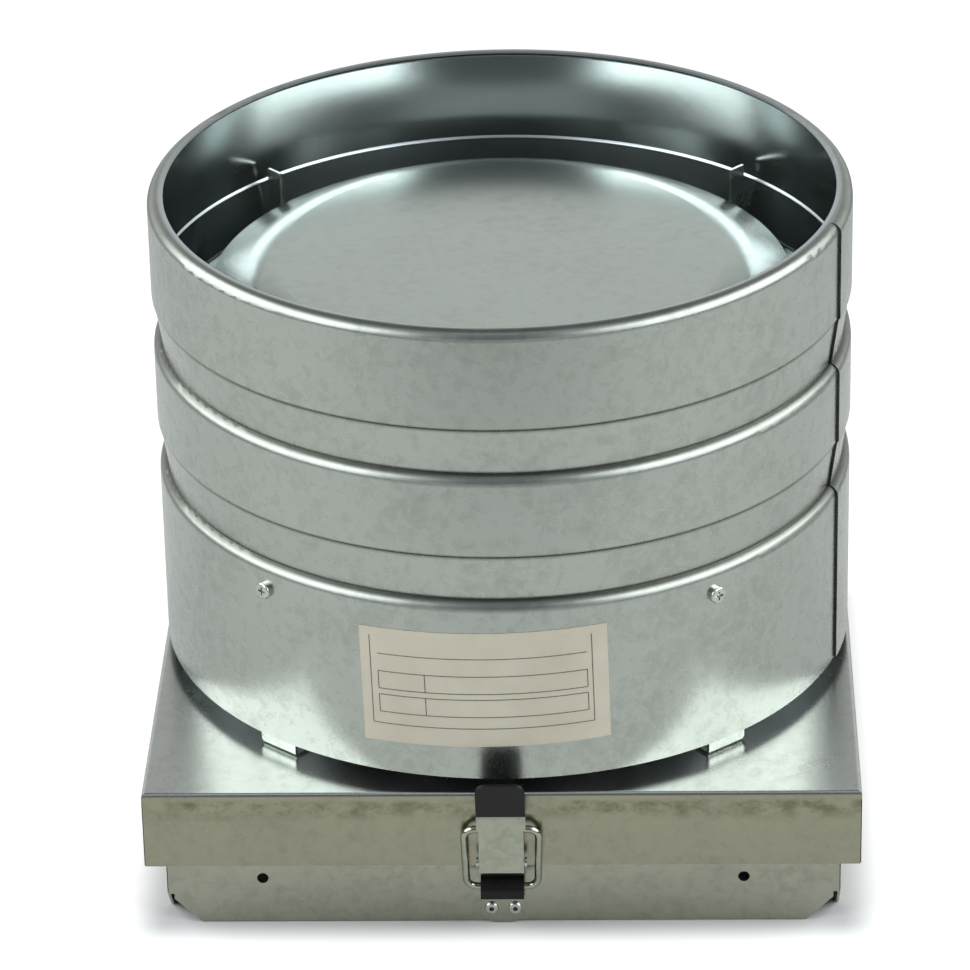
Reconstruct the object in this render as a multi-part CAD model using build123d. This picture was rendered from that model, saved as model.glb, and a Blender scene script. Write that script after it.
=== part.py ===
from build123d import *
from math import cos, radians, sin, sqrt
import os

os.makedirs("parts", exist_ok=True)

# Roof exhaust fan. Millimetres, +Z up, front towards -Y.
# Origin: fan axis, at the lower edge of the base frame.

# Sheet and fits
sheet = 1.2              # galvanised steel sheet
strip = 1.5              # steel of the brackets, hinges and latch
fold_radius = 2.0        # outside radius of a fold
corner_slit = 0.6        # open seam between two folded walls
side_play = 0.3          # between pieces that turn past each other
running_play = 0.05      # radial, pin in a turning hole

# Hood tray
hood_side = 330.0
hood_bottom = 35.2
hood_depth = 38.2
hood_top = hood_bottom + hood_depth
hood_front = -hood_side / 2

# Base frame
hood_overhang = 9.0      # hood beyond the frame on each side
frame_notch_width = 15.6
frame_notch_height = 15.2
frame_hole_radius = 2.65
frame_hole_inset = 44.6
frame_hole_height = 23.2
duct_play = 22.0         # duct opening wider than the nozzle's mouth
gasket_width = 18.0
gasket_thick = 5.0
gasket_inset = 3.0
frame_side = hood_side - 2 * hood_overhang
frame_top = hood_top - sheet - gasket_thick
frame_hole_spread = frame_side - 2 * frame_hole_inset
front_wall = -frame_side / 2

# Casing, from its lower edge upwards
casing_inset = 1.0       # casing inside the hood's outline
casing_gap = 7.2
lower_band = 85.5
middle_band = 34.4
upper_band = 42.4
shoulder_rise = 5.4
taper_rise = 23.6
neck_depth = 4.0
crease_depth = 0.8       # sharp fold where a band meets the taper below it
crease_rise = 1.0
rim_roll = 5.0
rim_sweep = 120.0
casing_radius = hood_side / 2 - casing_inset
casing_bottom = hood_top + casing_gap
shoulder_low = casing_bottom + lower_band
neck_inside = casing_radius - neck_depth - sheet

# Brackets that carry the casing and the motor plate
front_angle = 40.0       # from the front line, each side
rear_angle = 43.0        # from the rear line, each side
bracket_width = 22.8
bracket_leg = 14.0
bracket_top = 266.0
bracket_foot = 26.0
neck_play = 0.8
bracket_face = sqrt((casing_radius - sheet) ** 2 - (bracket_width / 2) ** 2)
bracket_upper_face = sqrt((neck_inside - neck_play) ** 2 - (bracket_width / 2) ** 2)

# Fasteners
screw_radius = 1.9
screw_head_radius = 4.0
screw_head_height = 2.6
screw_length = 14.0
screw_drop = 8.0         # casing screws below the lower shoulder
screw_angles = (-40.7, 37.0, 137.0, -137.0)   # from the front, positive to the right
rivet_radius = 1.6
rivet_head_radius = 3.2
rivet_head_height = 1.5
rivet_tail = 1.0

# Rain cap
cap_gap = 28.5           # outlet between cap and casing
cap_slope = 23.5         # width of the sloping edge
cap_radius = casing_radius - cap_gap
cap_flat_radius = cap_radius - cap_slope
cap_top = 269.0
cap_edge = 258.0
cap_bend = 30.0
post_circle = 85.0
post_radius = 5.0
post_foot_radius = 10.0
post_foot_thick = 1.5
post_thread = 12.0

# Inlet nozzle
throat_radius = 60.0
mouth_radius = 18.0
throat_straight = 9.0
nozzle_flange = 20.0
nozzle_rivets = 6
nozzle_lip = hood_top + mouth_radius + throat_straight
duct_radius = throat_radius + mouth_radius + duct_play

# Impeller
eye_play = 2.3           # between nozzle lip and impeller collar
eye_overlap = 8.0
impeller_radius = 95.0
collar_height = 9.6
shroud_rise = 14.0
shroud_bend = 9.0
outlet_height = 39.0
blade_count = 7
blade_thick = 1.6
blade_root = 68.0
blade_sweep = 46.0
blade_radius = 62.0
eye_radius = throat_radius + sheet + eye_play
collar_bottom = nozzle_lip - eye_overlap
shroud_edge = collar_bottom + collar_height + shroud_rise
plate_bottom = shroud_edge + outlet_height

# External-rotor motor
rotor_radius = 46.0
rotor_wall = 3.0
rotor_below_plate = 27.0
rotor_above_plate = 13.0
air_gap = 1.0
axial_gap = 2.0
shaft_radius = 4.0
shaft_length = 44.0
bearing_radius = 11.0
bearing_width = 7.0
bearing_play = 0.03
stator_radius = 52.0
stator_height = 33.0
stator_groove = 2.0
stator_groove_pitch = 6.0
rotor_bottom = plate_bottom - rotor_below_plate
rotor_top = plate_bottom + rotor_above_plate
stator_bottom = rotor_bottom + rotor_wall + axial_gap
housing_bottom = rotor_top + axial_gap
deck_bottom = housing_bottom + stator_height

# Motor plate
deck_thick = 2.0
deck_radius = 100.0
deck_hole_radius = 22.0
deck_screw_circle = 38.0
deck_ear = 17.0
deck_screw_radius = 2.5
deck_screw_head = 4.5

# Rear hinges
hinge_inset = 60.0       # hinge centres from the hood's sides
hinge_width = 50.0
hinge_middle = 18.0
knuckle_radius = 4.0
hinge_pin_radius = 2.0
hinge_gap = 0.4
hinge_leaf_height = 30.0
hinge_foot_bottom = 6.0
hinge_foot_height = 17.0
hinge_clear = 0.5
hinge_rivet_inset = 9.0
hinge_spread = hood_side - 2 * hinge_inset
hinge_y = hood_side / 2 + hinge_clear + knuckle_radius
hinge_z = hood_bottom - knuckle_radius - 0.2

# Front latch: distances out from the hood's front and up from its lower edge
lever_out = 6.6
lever_up = 5.6
bail_out = 5.0
bail_up = 22.2
bar_out = 0.8
bar_up = -10.7
hook_out = 0.2
hook_up = -12.4
wire_radius = 1.7
bail_half_top = 17.3
bail_half_bar = 16.4
bail_bend = 5.0
lever_width = 20.6
lever_face = 2.9         # pivot to the inside of the lever's face
lever_heel = 3.3         # lever below its pivot
lever_wing = 3.9         # side walls behind the pivot
lever_bend_up = 30.8
lever_wing_up = 26.8
lever_wing_slope = 3.0
tongue_width = 22.6
tongue_length = 24.0
tongue_angle = 20.0
tongue_corner = 5.0
tongue_bend = 6.0
pivot_pin_radius = 1.5
pivot_head_radius = 2.4
pivot_head = 1.0
latch_base_up = 28.8
latch_rivet_steps = (9.0, 18.0)   # above the lever's pivot
hook_inside = 5.1
hook_lip = 1.9
keeper_width = 20.0
keeper_joggle = (15.0, 18.0)
keeper_rivet_height = 7.7
keeper_rivet_spread = 11.0
lever_pivot = (hood_front - lever_out, hood_bottom + lever_up)
bail_pivot = (hood_front - bail_out, hood_bottom + bail_up)
bail_bar = (hood_front - bar_out, hood_bottom + bar_up)
hook_centre = (hood_front - hook_out, hood_bottom + hook_up)
lever_bend_height = hood_bottom + lever_bend_up
lever_wing_top = hood_bottom + lever_wing_up
latch_base_top = hood_bottom + latch_base_up


def strip_face(line, thick, side=Side.LEFT):
    """Section of bent sheet: a line along one surface, thickened to one side."""
    return make_face(offset(line, amount=thick, side=side))


def extrude_x(face, width):
    """Extrude a (y, z) section to both sides of x = 0."""
    return extrude(Plane.YZ * face, amount=width / 2, both=True)


def revolve_z(face):
    """Turn an (r, z) section about the fan axis."""
    return revolve(Plane.XZ * face, Axis.Z)


def rod(radius, length):
    """Cylinder from the origin along +Z."""
    return extrude(Circle(radius), amount=length)


def from_front(angle, radius, height):
    """Frame on the casing's wall: +Z points outwards, angle counts from the front to the right."""
    turn = radians(angle)
    out = Vector(sin(turn), -cos(turn), 0)
    return Plane(origin=out * radius + Vector(0, 0, height), x_dir=(cos(turn), sin(turn), 0), z_dir=out)


def rivet(grip):
    """Domed rivet through a pack of sheets below z = 0, closed by a flat tail."""
    head = rod(rivet_head_radius, rivet_head_height)
    head = fillet(head.edges().sort_by(Axis.Z)[-1], 0.9 * rivet_head_height)
    tail = Pos(0, 0, -grip - rivet_tail) * rod(1.5 * rivet_radius, rivet_tail)
    return head + Pos(0, 0, -grip) * rod(rivet_radius, grip) + tail


def pan_screw(shank, head, height, length):
    """Pan-head screw with a cross recess, head above z = 0."""
    top = fillet(rod(head, height).edges().sort_by(Axis.Z)[-1], 0.4 * height)
    slot = Pos(0, 0, height) * Box(1.1 * head, 0.25 * head, height)
    return top + Pos(0, 0, -length) * rod(shank, length) - slot - Rot(0, 0, 90) * slot


def tray(side, bottom, top):
    """Square sheet tray, open below, with folded upper edges and open corner seams."""
    outer = Pos(0, 0, bottom) * extrude(Rectangle(side, side), amount=top - bottom)
    outer = fillet(outer.edges().group_by(Axis.Z)[-1], fold_radius)
    hollow = side - 2 * sheet
    inner = Pos(0, 0, bottom) * extrude(Rectangle(hollow, hollow), amount=top - bottom - sheet)
    inner = fillet(inner.edges().group_by(Axis.Z)[-1], fold_radius - sheet)
    shell = outer - inner
    depth = top - bottom - 2 * fold_radius
    seam = Box(4 * sheet, corner_slit, depth, align=(Align.CENTER, Align.CENTER, Align.MIN))
    for corner in range(4):
        shell -= Rot(0, 0, 45 + 90 * corner) * Pos(side / sqrt(2), 0, bottom) * seam
    return shell


def base_frame():
    """Frame that slips over the roof curb: notched lower corners, fixing holes on each side."""
    frame = tray(frame_side, 0, frame_top)
    frame -= Pos(0, 0, frame_top - 2 * sheet) * rod(duct_radius, 3 * sheet)
    half = frame_side / 2
    notch = Polyline(
        (half - frame_notch_width, 0), (half + 1, 0), (half + 1, frame_notch_height),
        (half, frame_notch_height), close=True,
    )
    cut = extrude(Plane.XZ * make_face(notch), amount=sheet + fold_radius)
    cut = Pos(0, -half + sheet + fold_radius, 0) * cut
    hole = Plane(origin=(frame_hole_spread / 2, -half - 1, frame_hole_height), z_dir=(0, 1, 0)) * rod(
        frame_hole_radius, sheet + 2
    )
    for quarter in range(4):
        for piece in (cut, hole):
            frame -= Rot(0, 0, 90 * quarter) * (piece + mirror(piece, Plane.YZ))
    for place in keeper_rivet_places():
        frame -= place * Pos(0, 0, -strip - sheet) * rod(rivet_radius, sheet)
    for place in hinge_foot_places():
        frame -= place * Pos(0, 0, -strip - sheet) * rod(rivet_radius, sheet)
    return frame


def frame_gasket():
    """Foam strip that the hood is drawn down on."""
    outer = frame_side - 2 * gasket_inset
    ring = Rectangle(outer, outer) - Rectangle(outer - 2 * gasket_width, outer - 2 * gasket_width)
    return Pos(0, 0, frame_top) * extrude(ring, amount=gasket_thick)


def keeper_rivet_places():
    return [
        Plane(origin=(x, front_wall - strip, keeper_rivet_height), z_dir=(0, -1, 0))
        for x in (-keeper_rivet_spread / 2, keeper_rivet_spread / 2)
    ]


def latch_keeper():
    """Hook on the frame: pad, joggle and a curl that opens downwards over the bail's bar."""
    outside = hook_inside + strip
    neck = hook_centre[0] + outside
    line = Polyline(
        (front_wall, 0), (front_wall, keeper_joggle[0]), (neck, keeper_joggle[1]), (neck, hook_centre[1])
    )
    line += CenterArc(hook_centre, outside, 0, 180)
    line += Line(
        (hook_centre[0] - outside, hook_centre[1]), (hook_centre[0] - outside, hook_centre[1] - hook_lip)
    )
    keeper = extrude_x(strip_face(Wire(line.edges()), strip), keeper_width)
    corners = keeper.edges().filter_by(Axis.Y).group_by(Axis.Z)[0]
    keeper = fillet(corners, keeper_width / 2 - 3)
    for place in keeper_rivet_places():
        keeper -= place * Pos(0, 0, -strip) * rod(rivet_radius, strip)
    return keeper


def hinge_centres():
    return (-hinge_spread / 2, hinge_spread / 2)


def hinge_foot_places():
    wall = frame_side / 2 + strip
    height = hinge_foot_bottom + hinge_foot_height / 2
    offset_x = hinge_width / 2 - hinge_rivet_inset
    return [
        Plane(origin=(x + step, wall, height), z_dir=(0, 1, 0))
        for x in hinge_centres()
        for step in (-offset_x, offset_x)
    ]


def hinge_leaf_places():
    wall = hood_side / 2 + strip
    height = hood_bottom + 0.6 * hinge_leaf_height
    offset_x = hinge_width / 2 - hinge_rivet_inset
    return [
        Plane(origin=(x + step, wall, height), z_dir=(0, 1, 0))
        for x in hinge_centres()
        for step in (-offset_x, offset_x)
    ]


def knuckle(width, bore):
    ring = Pos(hinge_y, hinge_z) * (Circle(knuckle_radius) - Circle(bore))
    return extrude_x(ring, width)


def hinge_lower_leaf(x):
    """Leaf on the frame: a foot on the wall and a cranked arm out to the middle knuckle."""
    wall = frame_side / 2
    arm_z = hinge_z - knuckle_radius
    line = Polyline((wall, hinge_foot_bottom), (wall, arm_z + strip), (hinge_y, arm_z + strip))
    leaf = extrude_x(strip_face(line, strip, Side.RIGHT), hinge_middle)
    foot = Box(hinge_width, strip, hinge_foot_height, align=(Align.CENTER, Align.MIN, Align.MIN))
    leaf = leaf + Pos(0, wall, hinge_foot_bottom) * foot + knuckle(hinge_middle, hinge_pin_radius)
    leaf -= extrude_x(Pos(hinge_y, hinge_z) * Circle(hinge_pin_radius), hinge_width)
    leaf = Pos(x, 0, 0) * leaf
    for place in hinge_foot_places():
        leaf -= place * Pos(0, 0, -strip) * rod(rivet_radius, strip)
    return leaf


def hinge_upper_leaf(x):
    """Leaf on the hood's rear wall, with two outer knuckles."""
    wall = hood_side / 2
    plate = Polyline((wall, hinge_z), (wall, hood_bottom + hinge_leaf_height))
    bore = hinge_pin_radius + running_play
    leaf = extrude_x(strip_face(plate, strip, Side.RIGHT), hinge_width) + knuckle(hinge_width, bore)
    leaf -= extrude_x(Pos(hinge_y, hinge_z) * Circle(bore), hinge_width)
    gap = extrude_x(Pos(hinge_y, hinge_z) * Circle(knuckle_radius + 1), hinge_middle + 2 * hinge_gap)
    leaf = Pos(x, 0, 0) * (leaf - gap)
    for place in hinge_leaf_places():
        leaf -= place * Pos(0, 0, -strip) * rod(rivet_radius, strip)
    return leaf


def hinge_pins():
    pin = extrude_x(Pos(hinge_y, hinge_z) * Circle(hinge_pin_radius), hinge_width + 2)
    return [Pos(x, 0, 0) * pin for x in hinge_centres()]


def hood_tray():
    """Hood over the frame: inlet opening, and holes for nozzle, brackets, hinges and latch."""
    hood = tray(hood_side, hood_bottom, hood_top)
    hood -= Pos(0, 0, hood_top - 2 * sheet) * rod(throat_radius + mouth_radius, 3 * sheet)
    for place in nozzle_places() + foot_places():
        hood -= place * Pos(0, 0, -strip - sheet) * rod(rivet_radius, strip + sheet)
    for place in hinge_leaf_places() + latch_base_places():
        hood -= place * Pos(0, 0, -strip - sheet) * rod(rivet_radius, sheet + strip)
    return hood


def nozzle_places():
    circle = throat_radius + mouth_radius + nozzle_flange / 2
    return [
        Plane((circle * cos(radians(a)), circle * sin(radians(a)), hood_top + sheet))
        for a in (360 / nozzle_rivets * n for n in range(nozzle_rivets))
    ]


def inlet_nozzle():
    """Spun bell mouth: flange on the hood plate, rounded mouth, straight throat."""
    mouth = throat_radius + mouth_radius
    line = Line((mouth + nozzle_flange, hood_top), (mouth, hood_top))
    line += CenterArc((mouth, hood_top + mouth_radius), mouth_radius, 180, 90)
    line += Line((throat_radius, hood_top + mouth_radius), (throat_radius, nozzle_lip))
    nozzle = revolve_z(strip_face(Wire(line.edges()), sheet, Side.RIGHT))
    for place in nozzle_places():
        nozzle -= place * Pos(0, 0, -sheet) * rod(rivet_radius, sheet)
    return nozzle


def bracket_frames():
    """Name, turn about the fan axis, and the side its radial leg is on."""
    return {
        "bracket_front_right": (front_angle - 90, 1),
        "bracket_front_left": (-front_angle - 90, -1),
        "bracket_rear_right": (90 - rear_angle, -1),
        "bracket_rear_left": (90 + rear_angle, 1),
    }


def foot_places():
    spot = bracket_face - 0.6 * bracket_foot
    return [
        Plane(
            origin=(spot * cos(radians(turn)), spot * sin(radians(turn)), hood_top + strip)
        )
        for turn, hand in bracket_frames().values()
    ]


def ear_rivet_place(turn, hand):
    middle = (bracket_upper_face + bracket_face - bracket_leg) / 2
    height = deck_bottom + deck_thick - 0.65 * deck_ear
    spot = Plane(origin=(middle, hand * bracket_width / 2, height), z_dir=(0, hand, 0))
    return Rot(0, 0, turn) * Location(spot)


def bracket(turn, hand):
    """Angle bracket: broad leg on the casing, narrow radial leg, foot folded inwards on the hood."""
    face = bracket_face
    half = bracket_width / 2
    corner = FilletPolyline((face, -half), (face, half), (face - bracket_leg, half), radius=fold_radius)
    leg_bottom = hood_top + fold_radius + 0.5
    angle = Pos(0, 0, leg_bottom) * extrude(strip_face(corner, strip), amount=bracket_top - leg_bottom)
    above = Pos(bracket_upper_face, 0, shoulder_low - 2) * Box(
        bracket_leg, 2 * bracket_width, bracket_top, align=(Align.MIN, Align.CENTER, Align.MIN)
    )
    fold = FilletPolyline(
        (face, leg_bottom + 4), (face, hood_top), (face - bracket_foot, hood_top), radius=fold_radius + 0.5
    )
    foot = Plane.XZ * strip_face(fold, strip, Side.RIGHT)
    foot = Pos(0, half - fold_radius, 0) * extrude(foot, amount=bracket_width - fold_radius)
    piece = angle - above + foot
    if hand < 0:
        piece = mirror(piece, Plane.XZ)
    piece = Rot(0, 0, turn) * piece
    for place in foot_places():
        piece -= place * Pos(0, 0, -strip) * rod(rivet_radius, strip)
    for place in casing_screw_places():
        piece -= place * Pos(0, 0, -screw_length) * rod(screw_radius, screw_length)
    piece -= ear_rivet_place(turn, hand) * Pos(0, 0, -strip) * rod(rivet_radius, strip)
    return piece


def casing_outline(radius):
    """Outer line of the casing wall: two necked shoulders and a rolled rim."""
    z = casing_bottom
    edges = []
    for band in (lower_band, middle_band):
        neck = (radius - neck_depth, z + band + shoulder_rise)
        edges.append(Line((radius, z), (radius, z + band)))
        edges.append(TangentArc((radius, z + band), neck, tangent=(0, 1)))
        z += band + shoulder_rise + taper_rise
        crease = (radius - crease_depth, z - crease_rise)
        edges.append(Line(neck, crease))
        edges.append(Line(crease, (radius, z)))
    edges.append(Line((radius, z), (radius, z + upper_band)))
    edges.append(CenterArc((radius - rim_roll, z + upper_band), rim_roll, 0, rim_sweep))
    return Wire(edges)


def casing_screw_places():
    return [from_front(angle, casing_radius, shoulder_low - screw_drop) for angle in screw_angles]


def casing():
    """Rolled and beaded casing with holes for the bracket screws."""
    wall = revolve_z(strip_face(casing_outline(casing_radius), sheet))
    for place in casing_screw_places():
        wall -= place * Pos(0, 0, -screw_length) * rod(screw_radius, screw_length)
    return wall


def casing_screws():
    screw = pan_screw(screw_radius, screw_head_radius, screw_head_height, screw_length)
    return [place * screw for place in casing_screw_places()]


def rain_cap():
    """Spun cap over the motor: flat top, soft bend and sloping edge."""
    line = FilletPolyline((0, cap_top), (cap_flat_radius, cap_top), (cap_radius, cap_edge), radius=cap_bend)
    return revolve_z(strip_face(line, sheet, Side.RIGHT))


def post_spots():
    return [Rot(0, 0, 90 * n) * Pos(post_circle, 0, 0) for n in range(4)]


def cap_posts():
    foot = deck_bottom + deck_thick
    head = cap_top - sheet
    post = Pos(0, 0, foot) * rod(post_radius, head - foot)
    post += Pos(0, 0, head - post_foot_thick) * rod(post_foot_radius, post_foot_thick)
    post -= Pos(0, 0, foot) * rod(deck_screw_radius, post_thread)
    return [spot * post for spot in post_spots()]


def cap_post_screws():
    screw = pan_screw(deck_screw_radius, deck_screw_head, screw_head_height, deck_thick + post_thread)
    return [spot * Pos(0, 0, deck_bottom) * Rot(180, 0, 0) * screw for spot in post_spots()]


def motor_screw_spots():
    return [Rot(0, 0, 45 + 90 * n) * Pos(deck_screw_circle, 0, 0) for n in range(4)]


def motor_plate():
    """Plate that hangs the motor: a disc with four arms and ears folded down on the brackets."""
    disc = Circle(deck_radius) - Circle(deck_hole_radius)
    plate = Pos(0, 0, deck_bottom) * extrude(disc, amount=deck_thick)
    side = bracket_width / 2 - strip
    reach = bracket_upper_face - 1
    for turn, hand in bracket_frames().values():
        start = deck_radius - 10
        arm = Pos((start + reach) / 2, 0, deck_bottom + deck_thick / 2) * Box(
            reach - start, 2 * side - 2 * fold_radius, deck_thick
        )
        fold = FilletPolyline(
            (0, deck_bottom + deck_thick),
            (side, deck_bottom + deck_thick),
            (side, deck_bottom + deck_thick - deck_ear),
            radius=fold_radius,
        )
        ear = extrude(Plane.YZ * strip_face(fold, strip, Side.RIGHT), amount=bracket_leg)
        ear = Pos(reach - bracket_leg, 0, 0) * ear
        if hand < 0:
            ear = mirror(ear, Plane.XZ)
        plate += Rot(0, 0, turn) * (arm + ear)
    for turn, hand in bracket_frames().values():
        plate -= ear_rivet_place(turn, hand) * Pos(0, 0, -2 * strip) * rod(rivet_radius, strip)
    for spot in post_spots() + motor_screw_spots():
        plate -= spot * Pos(0, 0, deck_bottom) * rod(deck_screw_radius, deck_thick)
    return plate


def motor_screws():
    screw = pan_screw(deck_screw_radius, deck_screw_head, screw_head_height, deck_thick + post_thread)
    return [spot * Pos(0, 0, deck_bottom + deck_thick) * screw for spot in motor_screw_spots()]


def motor_stator():
    """Fixed part of the motor: wound core inside the rotor, ribbed electronics housing above."""
    core = rotor_radius - rotor_wall - air_gap
    stator = Pos(0, 0, stator_bottom) * rod(core, housing_bottom - stator_bottom)
    stator += Pos(0, 0, housing_bottom) * rod(stator_radius, stator_height)
    groove = Circle(stator_radius + 1) - Circle(stator_radius - stator_groove)
    groove = extrude(groove, amount=stator_groove_pitch / 2)
    height = housing_bottom + stator_groove_pitch
    while height < deck_bottom - stator_groove_pitch:
        stator -= Pos(0, 0, height) * groove
        height += stator_groove_pitch
    stator -= Pos(0, 0, stator_bottom) * rod(1.5 * shaft_radius, shaft_length)
    for bottom in bearing_bottoms():
        stator -= Pos(0, 0, bottom) * rod(bearing_radius, bearing_width)
    for spot in motor_screw_spots():
        stator -= spot * Pos(0, 0, deck_bottom - post_thread) * rod(deck_screw_radius, post_thread)
    return stator


def bearing_bottoms():
    return (stator_bottom, housing_bottom - bearing_width)


def motor_bearings():
    ring = extrude(Circle(bearing_radius) - Circle(shaft_radius + bearing_play), amount=bearing_width)
    return [Pos(0, 0, bottom) * ring for bottom in bearing_bottoms()]


def motor_rotor():
    """Rotor can, closed towards the inlet."""
    can = Pos(0, 0, rotor_bottom) * rod(rotor_radius, rotor_top - rotor_bottom)
    can = fillet(can.edges().group_by(Axis.Z)[0], rotor_wall)
    can -= Pos(0, 0, rotor_bottom + rotor_wall) * rod(rotor_radius - rotor_wall, rotor_top)
    return can - Pos(0, 0, rotor_bottom) * rod(shaft_radius, rotor_wall)


def motor_shaft():
    return Pos(0, 0, rotor_bottom) * rod(shaft_radius, shaft_length)


def shroud_line():
    """Air side of the shroud: collar round the nozzle lip, soft bend and cone, as (r, z) points."""
    neck = collar_bottom + collar_height
    return ((eye_radius, collar_bottom), (eye_radius, neck), (impeller_radius, shroud_edge))


def impeller_shroud():
    """Spun front ring of the impeller."""
    line = FilletPolyline(*shroud_line(), radius=shroud_bend)
    return revolve_z(strip_face(line, sheet, Side.RIGHT))


def impeller_back_plate():
    """Flat ring that the rotor can is pressed into."""
    disc = Circle(impeller_radius) - Circle(rotor_radius)
    return Pos(0, 0, plate_bottom) * extrude(disc, amount=strip)


def impeller_blades():
    """Backward-curved blades, cut to the shroud's cone below and to the back plate above."""
    corner, edge = shroud_line()[1:]
    slope = (edge[1] - corner[1]) / (edge[0] - corner[0])
    zone = revolve_z(
        make_face(
            Polyline(
                (blade_root, corner[1] + slope * (blade_root - corner[0])), edge,
                (impeller_radius, plate_bottom), (blade_root, plate_bottom), close=True,
            )
        )
    )
    reach = impeller_radius + 3
    tip = (reach * cos(radians(blade_sweep)), reach * sin(radians(blade_sweep)))
    blade = strip_face(RadiusArc((blade_root - 4, 0), tip, blade_radius), blade_thick)
    blade = Pos(0, 0, collar_bottom) * extrude(blade, amount=plate_bottom + sheet - collar_bottom) & zone
    return [Rot(0, 0, 360 / blade_count * n) * blade for n in range(blade_count)]


def latch_base_places():
    wall = hood_front - sheet
    return [
        Plane(origin=(0, wall, lever_pivot[1] + step), z_dir=(0, -1, 0)) for step in latch_rivet_steps
    ]


def latch_base():
    """Stamped base of the latch: plate on the hood and two ears for the lever's pin."""
    y, z = lever_pivot
    ear_radius = lever_face - side_play
    outside = lever_width / 2 - strip - side_play
    low = z - ear_radius
    plate = Box(2 * outside, sheet, latch_base_top - low, align=(Align.CENTER, Align.MAX, Align.MIN))
    plate = Pos(0, hood_front, low) * plate
    ear = make_face(
        Polyline((hood_front, low), (y, low)) + CenterArc(lever_pivot, ear_radius, 90, 180)
        + Polyline((y, z + ear_radius), (hood_front, z + ear_radius), (hood_front, low))
    )
    ears = extrude_x(ear, 2 * outside) - extrude_x(ear, 2 * (outside - sheet)) + plate
    ears -= extrude_x(Pos(*lever_pivot) * Circle(pivot_pin_radius), lever_width)
    for place in latch_base_places():
        ears -= place * Pos(0, 0, -sheet) * rod(rivet_radius, sheet)
    return ears


def latch_pivot():
    pin = Circle(pivot_pin_radius)
    head = Circle(pivot_head_radius)
    inner = lever_width + 2 * side_play
    outer = inner + 2 * pivot_head
    piece = extrude_x(Pos(*lever_pivot) * pin, outer)
    heads = extrude_x(Pos(*lever_pivot) * head, outer) - extrude_x(Pos(*lever_pivot) * head, inner)
    return piece + heads


def latch_lever():
    """Pressed lever: channel with side walls round both pivots, and a finger tongue flared outwards."""
    y, z = lever_pivot
    inside = y - lever_face
    tilt = radians(tongue_angle)
    bend = (inside, lever_bend_height)
    tip = (inside - tongue_length * sin(tilt), lever_bend_height + tongue_length * cos(tilt))
    face = extrude_x(strip_face(Polyline((inside, z - lever_heel), bend), strip), lever_width)
    tongue_line = FilletPolyline((inside, lever_bend_height - tongue_bend), bend, tip, radius=tongue_bend)
    tongue = extrude_x(strip_face(tongue_line, strip), tongue_width)
    corners = tongue.edges().filter_by(lambda e: e.length < 1.05 * strip).group_by(Axis.Z)[-1]
    tongue = fillet(corners, tongue_corner)
    wing = make_face(
        Polyline(
            (inside, z), (y + lever_wing, z), (y + lever_wing, lever_wing_top - lever_wing_slope),
            (inside, lever_wing_top), close=True,
        )
    )
    heel = Pos(*lever_pivot) * Circle(lever_heel + 0.6)
    outside = Pos(inside, z) * Rectangle(2 * lever_heel, 4 * lever_heel, align=(Align.MAX, Align.CENTER))
    wing = wing + heel - outside
    sides = extrude_x(wing, lever_width) - extrude_x(wing, lever_width - 2 * strip)
    lever = face + tongue + sides
    lever -= extrude_x(Pos(*lever_pivot) * Circle(pivot_pin_radius + running_play), lever_width)
    return lever - extrude_x(Pos(*bail_pivot) * Circle(wire_radius + running_play), lever_width)


def latch_bail():
    """Bent wire loop: its ends turn in the lever, its bar lies in the keeper's hook."""
    down = Vector(0, bail_bar[0] - bail_pivot[0], bail_bar[1] - bail_pivot[1])
    length = down.length
    normal = Vector(1, 0, 0).cross(down)
    plane = Plane(origin=(0, *bail_pivot), x_dir=(1, 0, 0), z_dir=normal)
    end = lever_width / 2 - strip - 0.5
    route = FilletPolyline(
        (-end, 0), (-bail_half_top, 0), (-bail_half_bar, length),
        (bail_half_bar, length), (bail_half_top, 0), (end, 0), radius=bail_bend,
    )
    path = plane * route
    return sweep(Plane(origin=path @ 0, z_dir=path % 0) * Circle(wire_radius), path)


parts = {
    "base_frame": base_frame(),
    "frame_gasket": frame_gasket(),
    "latch_keeper": latch_keeper(),
    "keeper_rivets": [place * rivet(strip + sheet) for place in keeper_rivet_places()],
    "hinge_lower_leaf_left": hinge_lower_leaf(-hinge_spread / 2),
    "hinge_lower_leaf_right": hinge_lower_leaf(hinge_spread / 2),
    "hinge_pins": hinge_pins(),
    "hinge_foot_rivets": [place * rivet(strip + sheet) for place in hinge_foot_places()],
    "hood_tray": hood_tray(),
    "hinge_upper_leaf_left": hinge_upper_leaf(-hinge_spread / 2),
    "hinge_upper_leaf_right": hinge_upper_leaf(hinge_spread / 2),
    "hinge_leaf_rivets": [place * rivet(strip + sheet) for place in hinge_leaf_places()],
    "inlet_nozzle": inlet_nozzle(),
    "nozzle_rivets": [place * rivet(2 * sheet) for place in nozzle_places()],
    "bracket_rivets": [place * rivet(strip + sheet) for place in foot_places()],
    "casing": casing(),
    "casing_screws": casing_screws(),
    "rain_cap": rain_cap(),
    "cap_posts": cap_posts(),
    "cap_post_screws": cap_post_screws(),
    "motor_plate": motor_plate(),
    "motor_plate_rivets": [
        ear_rivet_place(turn, hand) * rivet(2 * strip) for turn, hand in bracket_frames().values()
    ],
    "motor_screws": motor_screws(),
    "motor_stator": motor_stator(),
    "motor_bearings": motor_bearings(),
    "motor_rotor": motor_rotor(),
    "motor_shaft": motor_shaft(),
    "impeller_shroud": impeller_shroud(),
    "impeller_blades": impeller_blades(),
    "impeller_back_plate": impeller_back_plate(),
    "latch_base": latch_base(),
    "latch_base_rivets": [place * rivet(2 * sheet) for place in latch_base_places()],
    "latch_pivot": latch_pivot(),
    "latch_lever": latch_lever(),
    "latch_bail": latch_bail(),
}
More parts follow.
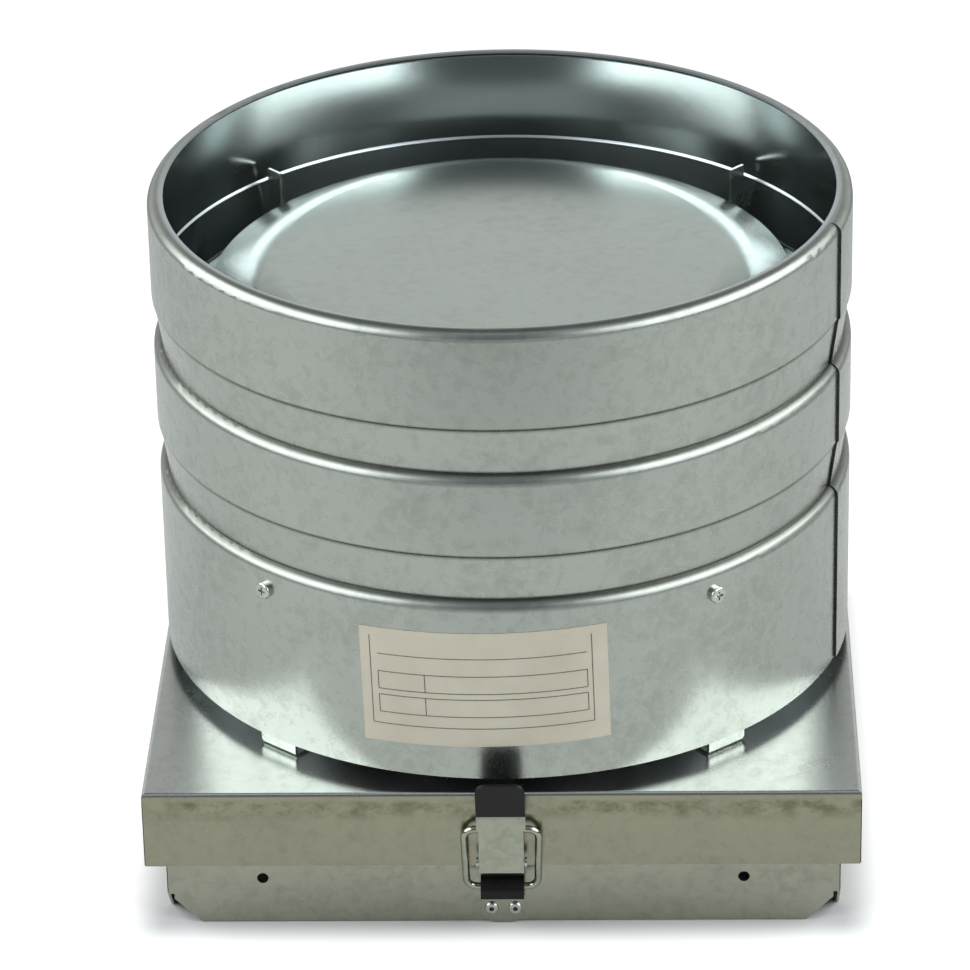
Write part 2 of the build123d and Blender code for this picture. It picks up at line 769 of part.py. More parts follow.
for name, (turn, hand) in bracket_frames().items():
    parts[name] = bracket(turn, hand)

for name, solid in parts.items():
    if isinstance(solid, list):
        solid = Compound(children=solid)
    export_step(solid, f"parts/{name}.step")
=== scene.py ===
import math

import bmesh
import bpy
from mathutils import Matrix, Vector


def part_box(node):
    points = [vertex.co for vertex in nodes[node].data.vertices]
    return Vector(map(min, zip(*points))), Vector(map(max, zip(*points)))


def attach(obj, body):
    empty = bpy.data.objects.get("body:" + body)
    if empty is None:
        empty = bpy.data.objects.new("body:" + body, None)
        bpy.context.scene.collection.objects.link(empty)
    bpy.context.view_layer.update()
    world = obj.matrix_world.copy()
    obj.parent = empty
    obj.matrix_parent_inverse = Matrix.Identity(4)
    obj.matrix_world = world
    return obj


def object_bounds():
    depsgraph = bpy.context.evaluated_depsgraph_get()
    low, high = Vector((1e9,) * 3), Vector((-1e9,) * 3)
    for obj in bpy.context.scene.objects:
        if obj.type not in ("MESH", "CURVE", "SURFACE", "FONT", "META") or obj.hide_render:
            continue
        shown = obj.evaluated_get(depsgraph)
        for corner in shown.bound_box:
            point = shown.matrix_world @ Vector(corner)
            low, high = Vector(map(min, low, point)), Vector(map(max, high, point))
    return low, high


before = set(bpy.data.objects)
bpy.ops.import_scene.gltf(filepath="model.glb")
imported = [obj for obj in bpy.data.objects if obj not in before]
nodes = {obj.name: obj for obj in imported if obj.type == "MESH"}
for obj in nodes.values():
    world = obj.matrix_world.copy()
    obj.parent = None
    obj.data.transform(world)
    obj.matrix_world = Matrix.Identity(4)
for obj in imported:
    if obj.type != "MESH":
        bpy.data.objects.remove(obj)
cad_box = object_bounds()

# Base frame. Folded from galvanised steel sheet, it slips over the roof curb and carries the hinged hood.
# The zinc coat has frozen into faint crystals, so the grey changes a little from patch to patch.
# The foam strip on top of it seals the hood.
mm = 0.001


def linear(hex_colour):
    """sRGB hex to a linear colour with alpha."""
    parts = [int(hex_colour[i:i + 2], 16) / 255 for i in (1, 3, 5)]
    return [c / 12.92 if c <= 0.04045 else ((c + 0.055) / 1.055) ** 2.4 for c in parts] + [1]


def add(tree, kind, inputs=None, stops=(), **settings):
    """Add a node with its settings and ramp stops; an input that is a socket is linked, any other is set."""
    made = tree.nodes.new(kind)
    for name, value in settings.items():
        setattr(made, name, value)
    for name, value in (inputs or {}).items():
        if isinstance(value, bpy.types.NodeSocket):
            tree.links.new(value, made.inputs[name])
        else:
            made.inputs[name].default_value = value
    if stops:
        elements = made.color_ramp.elements
        while len(elements) < len(stops):
            elements.new(0.5)
        for element, (position, colour) in zip(elements, stops):
            element.position = position
            element.color = linear(colour)
    return made


def bare_metal(name, dark, light, rough_low, rough_high, spangle_mm=6, upright_painted_shade=None):
    """Metal with cloudy tone, faint crystals and small smudges; may darken the upright walls as painted
    shade.
    """
    material = bpy.data.materials.new(name)
    material.use_nodes = True
    tree = material.node_tree
    tree.nodes.clear()
    where = add(tree, "ShaderNodeTexCoord").outputs
    place = where["Object"]
    cloud_size, smudge_size = 40 * mm, 6 * mm
    crystal_share, cloud_share = 0.14, 0.3
    tone_low, tone_high = 0.36, 0.54
    cloud = add(tree, "ShaderNodeTexNoise", {"Vector": place, "Scale": 1 / cloud_size, "Detail": 3.0})
    smudge = add(
        tree, "ShaderNodeTexNoise",
        {"Vector": place, "Scale": 1 / smudge_size, "Detail": 6.0, "Roughness": 0.65, "Distortion": 0.6},
    )
    crystal = add(tree, "ShaderNodeTexVoronoi", {"Vector": place, "Scale": 1 / (spangle_mm * mm)})
    grain = add(
        tree, "ShaderNodeMix",
        {"Factor": crystal_share, "A": smudge.outputs["Fac"], "B": crystal.outputs["Color"]},
    )
    tone = add(
        tree, "ShaderNodeMix",
        {"Factor": cloud_share, "A": grain.outputs["Result"], "B": cloud.outputs["Fac"]},
    ).outputs["Result"]
    colour = add(
        tree, "ShaderNodeValToRGB", {"Fac": tone}, stops=((tone_low, dark), (tone_high, light))
    ).outputs["Color"]
    if upright_painted_shade:
        # Painted shade: the upright walls are multiplied by the given colour, the flat plates are not.
        plate_normal, wall_normal = 0.8, 0.2
        facing = add(tree, "ShaderNodeSeparateXYZ", {"Vector": where["Normal"]}).outputs["Z"]
        upright_share = add(
            tree, "ShaderNodeMapRange",
            {"Value": facing, "From Min": plate_normal, "From Max": wall_normal},
        )
        colour = add(
            tree, "ShaderNodeMix",
            {0: upright_share.outputs["Result"], 6: colour, 7: linear(upright_painted_shade)}, data_type="RGBA", blend_type="MULTIPLY",
        ).outputs[2]
    rough = add(
        tree, "ShaderNodeMapRange",
        {
            "Value": tone, "From Min": tone_low, "From Max": tone_high,
            "To Min": rough_high, "To Max": rough_low,
        },
    )
    bump = add(
        tree, "ShaderNodeBump", {"Height": cloud.outputs["Fac"], "Strength": 0.03, "Distance": 0.5 * mm}
    )
    shader = add(
        tree, "ShaderNodeBsdfPrincipled",
        {
            "Base Color": colour, "Metallic": 1.0, "Roughness": rough.outputs["Result"],
            "Normal": bump.outputs["Normal"],
        },
    )
    add(tree, "ShaderNodeOutputMaterial", {"Surface": shader.outputs["BSDF"]})
    return material


def dress(material, *names):
    """Give CAD nodes a material."""
    for name in names:
        slots = nodes[name].data.materials
        slots.clear()
        slots.append(material)


frame_zinc = bare_metal("galvanised_sheet_frame", "#949586", "#A2A393", 0.28, 0.34)
dress(frame_zinc, "base_frame")


def toned(name, grain_mm, detail, rough, stops, pit_mm=0):
    """Matt or satin skin whose colour drifts between two tones; pits follow the same grain."""
    material = bpy.data.materials.new(name)
    material.use_nodes = True
    tree = material.node_tree
    shader = tree.nodes["Principled BSDF"]
    place = add(tree, "ShaderNodeTexCoord").outputs["Object"]
    grain = add(
        tree, "ShaderNodeTexNoise", {"Vector": place, "Scale": 1 / (grain_mm * mm), "Detail": detail}
    ).outputs["Fac"]
    colour = add(tree, "ShaderNodeValToRGB", {"Fac": grain}, stops=stops)
    tree.links.new(colour.outputs["Color"], shader.inputs["Base Color"])
    shader.inputs["Roughness"].default_value = rough
    if pit_mm:
        bump = add(tree, "ShaderNodeBump", {"Height": grain, "Strength": 0.6, "Distance": pit_mm * mm})
        tree.links.new(bump.outputs["Normal"], shader.inputs["Normal"])
    return material


foam = toned("closed_cell_foam_black", 1.2, 3.0, 0.9, ((0.3, "#1A1A1B"), (0.7, "#262627")), pit_mm=0.4)
dress(foam, "frame_gasket")

# Hood tray. One folded sheet with open corner seams, more handled than the casing. Its upright walls are
# painted darker and browner than its top plate, as painted shade. Its top plate is nearly mirror bright, and
# its walls are scuffed under the fold where hands and tools pass.
hood_zinc = bare_metal("galvanised_sheet_hood", "#A8AAA6", "#B1B4B0", 0.25, 0.28, upright_painted_shade="#D5D0BA")
hood_tree = hood_zinc.node_tree
hood_shader = hood_tree.nodes["Principled BSDF"]
hood_place = add(hood_tree, "ShaderNodeTexCoord").outputs["Object"]
hood_level = add(hood_tree, "ShaderNodeSeparateXYZ", {"Vector": hood_place}).outputs["Z"]
hood_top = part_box("hood_tray")[1].z
scuff_reach = 20 * mm
scuff_long, scuff_high = 12 * mm, 7 * mm
below_fold = add(
    hood_tree, "ShaderNodeMapRange",
    {"Value": hood_level, "From Min": hood_top - scuff_reach, "From Max": hood_top},
)
scuff_band = add(
    hood_tree, "ShaderNodeValToRGB", {"Fac": below_fold.outputs["Result"]},
    stops=((0.25, "#000000"), (0.55, "#FFFFFF"), (0.75, "#FFFFFF"), (0.85, "#000000")),
)
scuff_run = add(
    hood_tree, "ShaderNodeMapping",
    {"Vector": hood_place, "Scale": (1 / scuff_long, 1 / scuff_long, 1 / scuff_high)},
)
scuff_noise = add(
    hood_tree, "ShaderNodeTexNoise",
    {"Vector": scuff_run.outputs["Vector"], "Scale": 1.0, "Detail": 6.0, "Roughness": 0.7},
)
scuff_tone = add(
    hood_tree, "ShaderNodeValToRGB", {"Fac": scuff_noise.outputs["Fac"]},
    stops=((0.42, "#FFFFFF"), (0.62, "#CFCABE")),
)
scuffed = add(
    hood_tree, "ShaderNodeMix",
    {
        0: scuff_band.outputs["Color"], 6: hood_shader.inputs["Base Color"].links[0].from_socket,
        7: scuff_tone.outputs["Color"],
    },
    data_type="RGBA", blend_type="MULTIPLY",
).outputs[2]
hood_tree.links.new(scuffed, hood_shader.inputs["Base Color"])
dress(hood_zinc, "hood_tray")

# Rear hinges with their pins, and all rivets and screws. Zinc-plated steel, a little brighter and smoother
# than the sheet. The rivets are set cold, the screws are driven with a cross-head driver.
plated = bare_metal("zinc_plated_steel", "#A8AAA4", "#C0C2BC", 0.22, 0.3, 2)
dress(
    plated,
    "hinge_lower_leaf_left", "hinge_lower_leaf_right", "hinge_upper_leaf_left", "hinge_upper_leaf_right",
    "hinge_pins", "hinge_foot_rivets", "hinge_leaf_rivets", "keeper_rivets", "nozzle_rivets",
    "bracket_rivets", "casing_screws", "cap_post_screws", "cap_posts", "motor_plate_rivets",
    "motor_screws", "latch_base_rivets", "latch_pivot",
)

# Inlet nozzle, brackets and motor plate. Spun and folded from the same galvanised sheet, hidden in the casing
# or seen only at their edges.
inner_zinc = bare_metal("galvanised_sheet_inner", "#A2A8A0", "#B4BAB2", 0.22, 0.3)
dress(
    inner_zinc,
    "inlet_nozzle", "motor_plate",
    "bracket_front_left", "bracket_front_right", "bracket_rear_left", "bracket_rear_right",
)

# Motor and impeller. The housing and rotor are die-cast aluminium, matte grey from the mould. The wheel is
# pressed and riveted from mill-finish aluminium, brighter than the zinc. Shaft and bearings are ground steel.
cast = bare_metal("die_cast_aluminium", "#6E7072", "#86888A", 0.46, 0.56, 2)
dress(cast, "motor_stator", "motor_rotor")
mill = bare_metal("mill_finish_aluminium", "#B8BABC", "#CCCED0", 0.28, 0.36, 3)
dress(mill, "impeller_shroud", "impeller_blades", "impeller_back_plate")
ground = bare_metal("ground_bearing_steel", "#B9B9B9", "#C9C9C9", 0.14, 0.2, 2)
dress(ground, "motor_shaft", "motor_bearings")

# Casing. A rolled sheet with two necked beads and a rolled rim, screwed to the brackets below the lower bead.
# The wall is greenish grey zinc with faint spangle, rougher outside than inside; inside, its colour is
# painted brighter and bluer as painted reflection. Rolling has dulled the zinc on the shoulders and the rim,
# whose colour is painted darker there as painted shade, and painted shade darkens the corner and the crease
# of each bead.
casing_low, casing_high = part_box("casing")
lower_band = 85.5 * mm
middle_band = 34.4 * mm
shoulder_rise = 5.4 * mm
taper_rise = 23.6 * mm
lower_corner = casing_low.z + lower_band + shoulder_rise
lower_crease = lower_corner + taper_rise
upper_corner = lower_crease + middle_band + shoulder_rise
upper_crease = upper_corner + taper_rise
pressed_and_shaded_from, pressed_and_shaded_full = 0.1, 0.4
pressed_rough, inside_rough = 0.36, 0.19
inside_painted_share = 0.7
edge_fade = 20 * mm
casing_zinc = bare_metal("galvanised_sheet_casing", "#9CA199", "#A9AEA6", 0.26, 0.3)
casing_tree = casing_zinc.node_tree
casing_shader = casing_tree.nodes["Principled BSDF"]
casing_where = add(casing_tree, "ShaderNodeTexCoord").outputs
facing_up = add(casing_tree, "ShaderNodeSeparateXYZ", {"Vector": casing_where["Normal"]}).outputs["Z"]
# The mask of upward-facing zinc serves both the rolled roughness and the painted shade below.
pressed_and_shaded = add(
    casing_tree, "ShaderNodeMapRange",
    {"Value": facing_up, "From Min": pressed_and_shaded_from, "From Max": pressed_and_shaded_full},
).outputs["Result"]
across_axis = add(
    casing_tree, "ShaderNodeVectorMath", {0: casing_where["Object"], 1: (1.0, 1.0, 0.0)}, operation="MULTIPLY"
)
outward_face = add(
    casing_tree, "ShaderNodeVectorMath", {0: across_axis.outputs["Vector"], 1: casing_where["Normal"]},
    operation="DOT_PRODUCT",
)
outside = add(
    casing_tree, "ShaderNodeMapRange",
    {"Value": outward_face.outputs["Value"], "From Min": -edge_fade, "From Max": edge_fade},
).outputs["Result"]
wall_rough = add(
    casing_tree, "ShaderNodeMix",
    {"Factor": outside, "A": inside_rough, "B": casing_shader.inputs["Roughness"].links[0].from_socket},
).outputs["Result"]
casing_rough = add(casing_tree, "ShaderNodeMix", {"Factor": pressed_and_shaded, "A": wall_rough, "B": pressed_rough})
casing_tree.links.new(casing_rough.outputs["Result"], casing_shader.inputs["Roughness"])
casing_level = add(casing_tree, "ShaderNodeSeparateXYZ", {"Vector": casing_where["Object"]}).outputs["Z"]
casing_share = add(
    casing_tree, "ShaderNodeMapRange",
    {"Value": casing_level, "From Min": casing_low.z, "From Max": casing_high.z},
).outputs["Result"]
# Painted shade: thin dark bands by height in the corner and the crease of each bead.
corner_shade = ((-1.6, "#FFFFFF"), (-0.8, "#A5A39E"), (0.3, "#B2B0AB"), (1.2, "#FFFFFF"))
crease_shade = ((-2.2, "#FFFFFF"), (-1.2, "#9A978C"), (-0.4, "#9A978C"), (0.5, "#FFFFFF"))
bead_shade_stops = [
    ((height + step * mm - casing_low.z) / (casing_high.z - casing_low.z), tone)
    for height, bead_band_shade in (
        (lower_corner, corner_shade), (lower_crease, crease_shade),
        (upper_corner, corner_shade), (upper_crease, crease_shade),
    )
    for step, tone in bead_band_shade
]
bead_shade_ramp = add(casing_tree, "ShaderNodeValToRGB", {"Fac": casing_share}, stops=bead_shade_stops)
bead_shaded = add(
    casing_tree, "ShaderNodeMix",
    {0: 1.0, 6: casing_shader.inputs["Base Color"].links[0].from_socket, 7: bead_shade_ramp.outputs["Color"]},
    data_type="RGBA", blend_type="MULTIPLY",
).outputs[2]
# Painted shade: surfaces that face upwards, the shoulders and the rim, are multiplied darker.
shoulder_shaded = add(
    casing_tree, "ShaderNodeMix", {0: pressed_and_shaded, 6: bead_shaded, 7: linear("#CECECD")},
    data_type="RGBA", blend_type="MULTIPLY",
).outputs[2]
# Painted reflection: the inside of the wall is mixed towards a pale blue-grey.
inside_painted = add(
    casing_tree, "ShaderNodeMapRange", {"Value": outside, "To Min": inside_painted_share, "To Max": 0.0}
).outputs["Result"]
inside_painted_reflection = add(
    casing_tree, "ShaderNodeMix", {0: inside_painted, 6: shoulder_shaded, 7: linear("#B7BEC1")}, data_type="RGBA"
).outputs[2]
casing_tree.links.new(inside_painted_reflection, casing_shader.inputs["Base Color"])
dress(casing_zinc, "casing")

# Rain cap. Spun from the same galvanised sheet and standing on four posts. Spinning has pressed its skin
# smoother than the casing's, so it mirrors the backdrop as an even grey.
cap_zinc = bare_metal("galvanised_sheet_cap", "#A8B0A9", "#AEB6AF", 0.2, 0.23)
dress(cap_zinc, "rain_cap")

# Lap seam. The casing's rolled sheet closes on the right, where its outer end lies over the inner one and is
# spot welded. The outer end stops in a sharp cut edge and sinks into the wall behind it; the edge is dark
# partly as bare steel and partly as painted shadow of the gap under it.
# Angles are in degrees round the casing, from the front to the right.
casing_radius = (casing_high.x - casing_low.x) / 2
neck_depth = 4.0 * mm
rim_roll = 5.0 * mm
rim_sweep = 115
crease_depth, crease_rise = 0.8 * mm, 1.0 * mm
seam_angle = 72
lap_run = 20
lap_step = 1.1 * mm
lap_sink = 0.15 * mm


def arc_points(centre, radius, start, end, count):
    """Points on an arc in the (r, z) half plane, angles in degrees from the outward direction."""
    turns = (math.radians(start + (end - start) * n / count) for n in range(count + 1))
    return [(centre[0] + radius * math.cos(t), centre[1] + radius * math.sin(t)) for t in turns]


def casing_profile():
    """Outer line of the casing wall as (r, z) points, from the lower edge to the rim."""
    points = [(casing_radius, casing_low.z)]
    z = casing_low.z
    roll = (neck_depth ** 2 + shoulder_rise ** 2) / (2 * neck_depth)
    end = math.degrees(math.asin(shoulder_rise / roll))
    for band in (lower_band, middle_band):
        points += arc_points((casing_radius - roll, z + band), roll, 0, end, 6)
        z += band + shoulder_rise + taper_rise
        points += [(casing_radius - crease_depth, z - crease_rise), (casing_radius, z)]
    rim = (casing_radius - rim_roll, casing_high.z - rim_roll)
    return points + arc_points(rim, rim_roll, 0, rim_sweep, 10)


def wall_point(angle, radius, z):
    """Point on the casing, angle in degrees from the front to the right."""
    turn = math.radians(angle)
    return (radius * math.sin(turn), -radius * math.cos(turn), z)


def grid_piece(name, rows, material, thickness, rim=None):
    """Sheet piece on the hood from rows of points, thickened inwards; rim is its cut edge's material."""
    mesh = bpy.data.meshes.new(name)
    wide = len(rows[0])
    faces = [
        (r * wide + c, (r + 1) * wide + c, (r + 1) * wide + c + 1, r * wide + c + 1)
        for r in range(len(rows) - 1) for c in range(wide - 1)
    ]
    mesh.from_pydata([p for row in rows for p in row], [], faces)
    mesh.polygons.foreach_set("use_smooth", [True] * len(mesh.polygons))
    mesh.materials.append(material)
    mesh.materials.append(rim or material)
    piece = bpy.data.objects.new(name, mesh)
    bpy.context.collection.objects.link(piece)
    skin = piece.modifiers.new("sheet", "SOLIDIFY")
    skin.thickness = thickness
    skin.offset = -1
    skin.material_offset_rim = 1
    piece.modifiers.new("edge", "EDGE_SPLIT").split_angle = math.radians(30)
    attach(piece, "hood")
    return piece


# Painted shadow: the cut edge is dark partly as bare steel and partly as shadow of the gap under the lap.
edge_and_gap_shade = bare_metal("cut_steel_edge_and_gap_shade", "#34342E", "#4A4A42", 0.5, 0.6, 3)
lap_columns = 24
lap_rows = []
for column in range(lap_columns + 1):
    share = column / lap_columns
    rise = lap_step * (1 - share) - lap_sink * share
    lap_rows.append([wall_point(seam_angle + lap_run * share, r + rise, z) for r, z in casing_profile()])
lap = grid_piece("casing_seam_lap", lap_rows, casing_zinc, lap_step, edge_and_gap_shade)

weld_radius = 1.7 * mm
weld_dome = 0.35 * mm
weld_beside = 2.6
weld_pitch = 24 * mm
weld_start = 0.6 * weld_pitch
weld_count = int((casing_high.z - casing_low.z - weld_pitch) / weld_pitch)
for number in range(weld_count):
    height = casing_low.z + weld_start + weld_pitch * number
    below, above = [
        pair for pair in zip(casing_profile(), casing_profile()[1:]) if pair[0][1] <= height <= pair[1][1]
    ][0]
    share = (height - below[1]) / (above[1] - below[1])
    radius = below[0] + (above[0] - below[0]) * share + lap_step * (1 - weld_beside / lap_run) - weld_dome / 2
    weld_mesh = bpy.data.meshes.new(f"spot_weld_{number}")
    dome = bmesh.new()
    bmesh.ops.create_uvsphere(dome, u_segments=16, v_segments=8, radius=weld_radius)
    turn = Matrix.Rotation(math.radians(seam_angle + weld_beside), 4, "Z")
    flat = Matrix.Diagonal((1, weld_dome / weld_radius, 1, 1))
    bmesh.ops.transform(dome, matrix=turn @ flat, verts=dome.verts)
    dome.to_mesh(weld_mesh)
    dome.free()
    weld_mesh.polygons.foreach_set("use_smooth", [True] * len(weld_mesh.polygons))
    weld_mesh.materials.append(casing_zinc)
    weld = bpy.data.objects.new(weld_mesh.name, weld_mesh)
    weld.location = wall_point(seam_angle + weld_beside, radius, height)
    bpy.context.collection.objects.link(weld)
    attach(weld, "hood")

# Rating plate. A cream polyester label stuck on the casing's front, a little crooked, with ruled boxes only.
# Its skin is satin and slightly uneven in tone, and the rules are screen printed in thin grey ink.
label_low, label_high = 97.5 * mm, 156 * mm
label_left, label_right = -22.4, 17.7
label_tilt = math.radians(1.5)
label_thick = 0.2 * mm
label_columns = 40
cream = toned("polyester_label_cream", 25, 4.0, 0.4, ((0.3, "#A9A291"), (0.7, "#B4AE9C")))
print_ink = toned("label_ink_grey", 0.8, 2.0, 0.5, ((0.35, "#42423E"), (0.7, "#66645C")))
label_middle = (label_left + label_right) / 2
label_height = (label_low + label_high) / 2
label_half = math.radians(label_right - label_left) / 2 * casing_radius


def label_point(across, up, lift):
    """Point on the label: across and up from its middle in metres, lifted off the casing."""
    x = across * math.cos(label_tilt) - up * math.sin(label_tilt)
    z = across * math.sin(label_tilt) + up * math.cos(label_tilt)
    return wall_point(label_middle + math.degrees(x / casing_radius), casing_radius + lift, label_height + z)


def label_patch(name, left, right, low, high, lift, material, columns):
    """Curved patch of the label between two sides and two heights."""
    rows = [
        [label_point(left + (right - left) * c / columns, level, lift) for level in (low, high)]
        for c in range(columns + 1)
    ]
    grid_piece(name, rows, material, label_thick / 2)


label_up = (label_high - label_low) / 2
label_patch("rating_plate", -label_half, label_half, -label_up, label_up, label_thick, cream, label_columns)
half_rule = 0.225 * mm
ink_rise = 0.05 * mm
border_left, border_right, border_low, border_high = -52.5 * mm, 50 * mm, -20 * mm, 25 * mm
box_left, box_right, box_split = -49 * mm, 47.5 * mm, -27 * mm
levels = [-14 * mm, -5 * mm, -2 * mm, 7 * mm, 16 * mm]
bars = [(box_left, box_right, level - half_rule, level + half_rule, label_columns) for level in levels]
bars.append((border_left, border_right, border_low - half_rule, border_low + half_rule, label_columns))
bars += [(x - half_rule, x + half_rule, border_low, border_high, 1) for x in (border_left, border_right)]
for low, high in (levels[0:2], levels[2:4]):
    bars += [(x - half_rule, x + half_rule, low, high, 1) for x in (box_left, box_split, box_right)]
for number, (left, right, bottom, top, columns) in enumerate(bars):
    label_patch(
        f"label_rule_{number}", left, right, bottom, top, label_thick + ink_rise, print_ink, columns
    )

# Front latch. Pressed and plated steel, worn satin: base and keeper are riveted, the lever turns on a pin,
# and the bail is bent from round wire. The upper ends of the lever's tongue and the keeper's hook carry a
# dark glossy coat as painted shade.
latch_steel = bare_metal("plated_latch_steel", "#909484", "#9EA292", 0.16, 0.24, 2)
dress(latch_steel, "latch_base", "latch_bail")
tongue_length, hook_length = 21 * mm, 12 * mm
shade_coat_edge = 0.5 * mm


def painted_shade_coat(name, low):
    """The latch steel with a dark glossy coat above a height, as painted shade."""
    material = latch_steel.copy()
    material.name = name
    tree = material.node_tree
    metal = tree.nodes["Principled BSDF"]
    place = add(tree, "ShaderNodeTexCoord").outputs["Object"]
    level = add(tree, "ShaderNodeSeparateXYZ", {"Vector": place}).outputs["Z"]
    coat_share = add(
        tree, "ShaderNodeMapRange", {"Value": level, "From Min": low, "From Max": low + shade_coat_edge}
    ).outputs["Result"]
    grain = add(tree, "ShaderNodeTexNoise", {"Vector": place, "Scale": 1 / (1.5 * mm), "Detail": 3.0})
    shade = add(
        tree, "ShaderNodeValToRGB", {"Fac": grain.outputs["Fac"]}, stops=((0.3, "#0A0A09"), (0.7, "#111110"))
    )
    shade_coat_shader = add(
        tree, "ShaderNodeBsdfPrincipled",
        {"Base Color": shade.outputs["Color"], "Roughness": 0.3, "IOR": 1.45, "Specular IOR Level": 0.25},
    )
    both = add(
        tree, "ShaderNodeMixShader", {0: coat_share, 1: metal.outputs["BSDF"], 2: shade_coat_shader.outputs["BSDF"]}
    )
    tree.links.new(both.outputs["Shader"], tree.nodes["Material Output"].inputs["Surface"])
    return material


lever_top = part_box("latch_lever")[1].z
hook_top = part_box("latch_keeper")[1].z
# Painted shade: the upper ends of the tongue and the hook are coated dark.
dress(painted_shade_coat("latch_steel_black_tongue", lever_top - tongue_length), "latch_lever")
dress(painted_shade_coat("latch_steel_black_hook", hook_top - hook_length), "latch_keeper")

# Mandrel ends. The keeper's two blind rivets keep the broken end of the steel pin that set them, sunk in the
# middle of each head; their dark colour is painted shade for the hollow there.
rivet_low, rivet_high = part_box("keeper_rivets")
head_radius = (rivet_high.z - rivet_low.z) / 2
mandrel_foot, mandrel_tip = 0.42 * head_radius, 0.3 * head_radius
mandrel_depth = 0.3 * mm
# Painted shade: the mandrel ends are dark.
mandrel_shade = bare_metal("mandrel_steel_painted_shade", "#2A2A28", "#3C3C38", 0.4, 0.5, 2)
for side in (-1, 1):
    mandrel_mesh = bpy.data.meshes.new(f"rivet_mandrel_{'left' if side < 0 else 'right'}")
    stub = bmesh.new()
    bmesh.ops.create_cone(
        stub, cap_ends=True, segments=24, radius1=mandrel_foot, radius2=mandrel_tip,
        depth=mandrel_depth, matrix=Matrix.Rotation(math.radians(90), 4, "X"),
    )
    stub.to_mesh(mandrel_mesh)
    stub.free()
    mandrel_mesh.materials.append(mandrel_shade)
    mandrel = bpy.data.objects.new(mandrel_mesh.name, mandrel_mesh)
    mandrel.location = (side * (rivet_high.x - head_radius), rivet_low.y, (rivet_low.z + rivet_high.z) / 2)
    bpy.context.collection.objects.link(mandrel)
    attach(mandrel, "base")

# Studio. A pale paper floor that shows white to the camera away from the object and keeps its shadow; its
# white glow fades out near the frame as a painted shadow round the object, and in reflections it shows a
# painted pool of light, dark at the frame and dimmer far out. Two large soft boxes stand at the sides, and a
# surround has a pale card behind the object and one behind the camera.
floor_half = 6.0
floor_level = cad_box[0].z - 0.5 * mm
shadow_reach, painted_pool_reach = 25 * mm, 600 * mm
white_glow = 0.6
floor_mesh = bpy.data.meshes.new("floor")
floor_mesh.from_pydata(
    [(x * floor_half, y * floor_half, floor_level) for x, y in ((-1, -1), (1, -1), (1, 1), (-1, 1))],
    [], [(0, 1, 2, 3)],
)
paper = bpy.data.materials.new("matte_paper_floor")
paper.use_nodes = True
paper_tree = paper.node_tree
paper_tree.nodes.clear()
spot = add(paper_tree, "ShaderNodeTexCoord").outputs["Object"]
beside = add(paper_tree, "ShaderNodeVectorMath", {0: spot}, operation="ABSOLUTE").outputs["Vector"]
frame_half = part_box("base_frame")[1].x
past_frame = add(
    paper_tree, "ShaderNodeVectorMath", {0: beside, 1: (frame_half, frame_half, 1.0)}, operation="SUBTRACT"
).outputs["Vector"]
outward = add(
    paper_tree, "ShaderNodeVectorMath", {0: past_frame, 1: (0.0, 0.0, 0.0)}, operation="MAXIMUM"
).outputs["Vector"]
clearance = add(paper_tree, "ShaderNodeVectorMath", {0: outward}, operation="LENGTH").outputs["Value"]
ray = add(paper_tree, "ShaderNodeLightPath").outputs
straight = add(
    paper_tree, "ShaderNodeMath", {0: ray["Is Camera Ray"], 1: ray["Is Transmission Ray"]},
    operation="MAXIMUM",
).outputs["Value"]
# Painted shadow: the white glow fades out towards the frame, leaving a darker halo round the object.
seen_white = add(
    paper_tree, "ShaderNodeMapRange", {"Value": clearance, "From Max": shadow_reach, "To Max": straight},
    interpolation_type="SMOOTHSTEP",
).outputs["Result"]
reach = add(
    paper_tree, "ShaderNodeMapRange", {"Value": clearance, "From Max": painted_pool_reach}
).outputs["Result"]
# Painted light: in reflections the floor shows a pool of light, dark at the frame and dimmer far out.
painted_light_pool = add(
    paper_tree, "ShaderNodeValToRGB", {"Fac": reach},
    stops=((0.0, "#000000"), (0.1, "#7A7A7A"), (0.35, "#7A7A7A"), (0.9, "#484848")),
).outputs["Color"]
mirrored = add(
    paper_tree, "ShaderNodeMath", {0: ray["Is Glossy Ray"], 1: painted_light_pool}, operation="MULTIPLY"
).outputs["Value"]
shown = add(
    paper_tree, "ShaderNodeMath", {0: seen_white, 1: white_glow, 2: mirrored}, operation="MULTIPLY_ADD"
).outputs["Value"]
matte = add(paper_tree, "ShaderNodeBsdfDiffuse", {"Color": linear("#ACACA9")})
glow = add(paper_tree, "ShaderNodeEmission", {"Color": linear("#FFFFFF"), "Strength": shown})
lit_paper = add(paper_tree, "ShaderNodeAddShader", {0: matte.outputs["BSDF"], 1: glow.outputs["Emission"]})
add(paper_tree, "ShaderNodeOutputMaterial", {"Surface": lit_paper.outputs["Shader"]})
floor_mesh.materials.append(paper)
floor = bpy.data.objects.new("floor", floor_mesh)
bpy.context.collection.objects.link(floor)

lamp_aside, lamp_along, lamp_up = 1.04, -0.22, 0.81
lamp_wide, lamp_high = 1.9, 0.9
lamp_watts = 29
lamp_target = Vector((0, 0, 0.15))
for side in (-1, 1):
    lamp = bpy.data.lights.new(f"soft_box_{side}", "AREA")
    lamp.shape = "RECTANGLE"
    lamp.size, lamp.size_y = lamp_wide, lamp_high
    lamp.energy = lamp_watts
    lamp.color = linear("#F6FAFF")[:3]
    holder = bpy.data.objects.new(lamp.name, lamp)
    holder.location = (side * lamp_aside, lamp_along, lamp_up)
    aim = lamp_target - holder.location
    holder.rotation_euler = aim.to_track_quat("-Z", "Y").to_euler()
    bpy.context.collection.objects.link(holder)

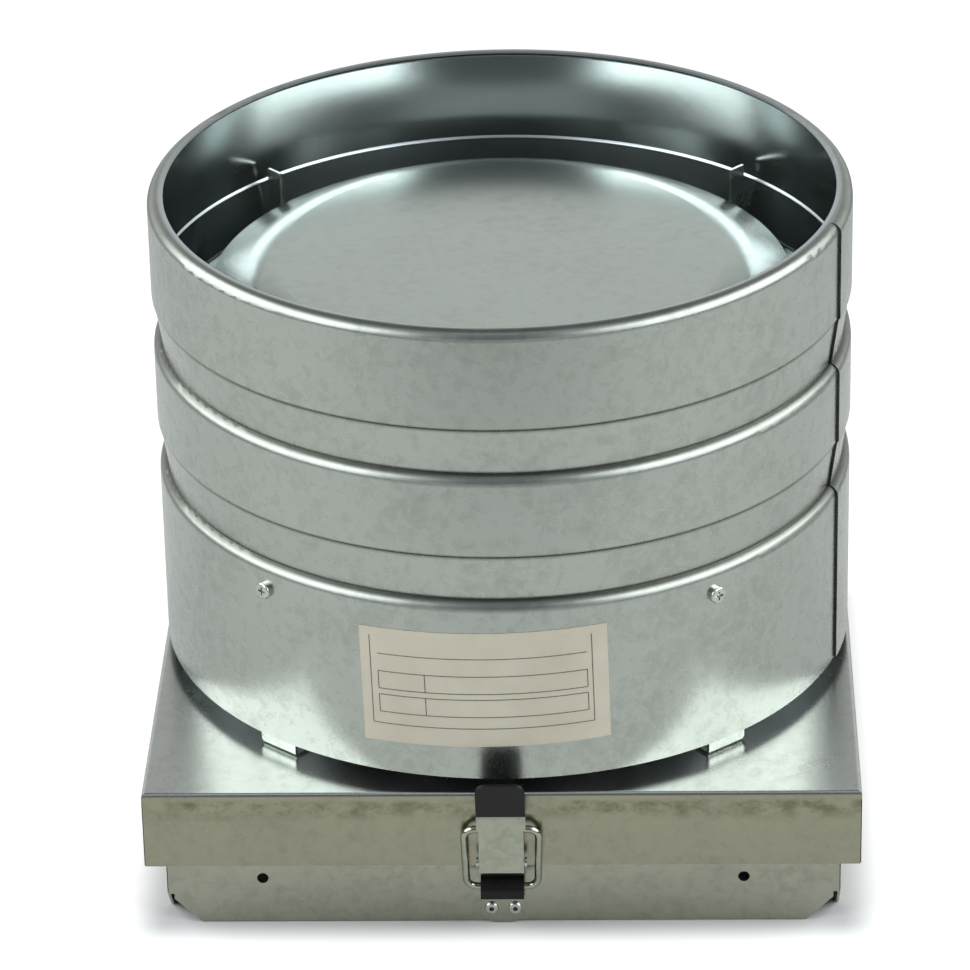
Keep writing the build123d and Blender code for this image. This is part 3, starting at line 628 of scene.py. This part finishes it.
world = bpy.data.worlds.new("studio")
bpy.context.scene.world = world
world.use_nodes = True
world_tree = world.node_tree
world_tree.nodes.clear()
behind_object = (0.0, 0.8, -0.6)
direction = add(world_tree, "ShaderNodeTexCoord").outputs["Generated"]
backdrop = add(
    world_tree, "ShaderNodeVectorMath", {0: direction, 1: behind_object}, operation="DOT_PRODUCT"
)
facing = add(world_tree, "ShaderNodeMapRange", {"Value": backdrop.outputs["Value"], "From Min": -1.0})
sky = add(
    world_tree, "ShaderNodeValToRGB", {"Fac": facing.outputs["Result"]},
    stops=(
        (0.0, "#6E7278"), (0.05, "#6E7278"), (0.08, "#F0F7FF"), (0.12, "#F0F7FF"),
        (0.18, "#6E7276"), (0.5, "#7C7E80"), (0.7, "#D8DADA"), (0.77, "#FFFFFF"),
    ),
)
surround = add(world_tree, "ShaderNodeBackground", {"Color": sky.outputs["Color"], "Strength": 1.0})
add(world_tree, "ShaderNodeOutputWorld", {"Surface": surround.outputs["Background"]})

# Camera. It stands at the photograph's place, in front and a little above, with a long lens and a slight
# roll. The focal length and the distance come from a fit of the casing, the hood and the frame.
photo_pixels = 970
focal_pixels = 5257
elevation, azimuth, roll = math.radians(27.17), math.radians(1.93), math.radians(-1.24)
distance = 2516 * mm
target = Vector((-9.7, 0, 147.2)) * mm
away = Vector((
    math.sin(azimuth) * math.cos(elevation), -math.cos(azimuth) * math.cos(elevation), math.sin(elevation),
))
right = Vector((0, 0, 1)).cross(away).normalized()
up = away.cross(right)
rolled_right = math.cos(roll) * right + math.sin(roll) * up
rolled_up = away.cross(rolled_right)
lens = bpy.data.cameras.new("photo_camera")
lens.sensor_width = 36
lens.lens = focal_pixels / photo_pixels * lens.sensor_width
lens.clip_end = 50
camera = bpy.data.objects.new("photo_camera", lens)
camera.matrix_world = Matrix((rolled_right, rolled_up, away)).transposed().to_4x4()
camera.location = target + away * distance
bpy.context.collection.objects.link(camera)
bpy.context.scene.camera = camera
bpy.context.scene.view_settings.view_transform = "Standard"
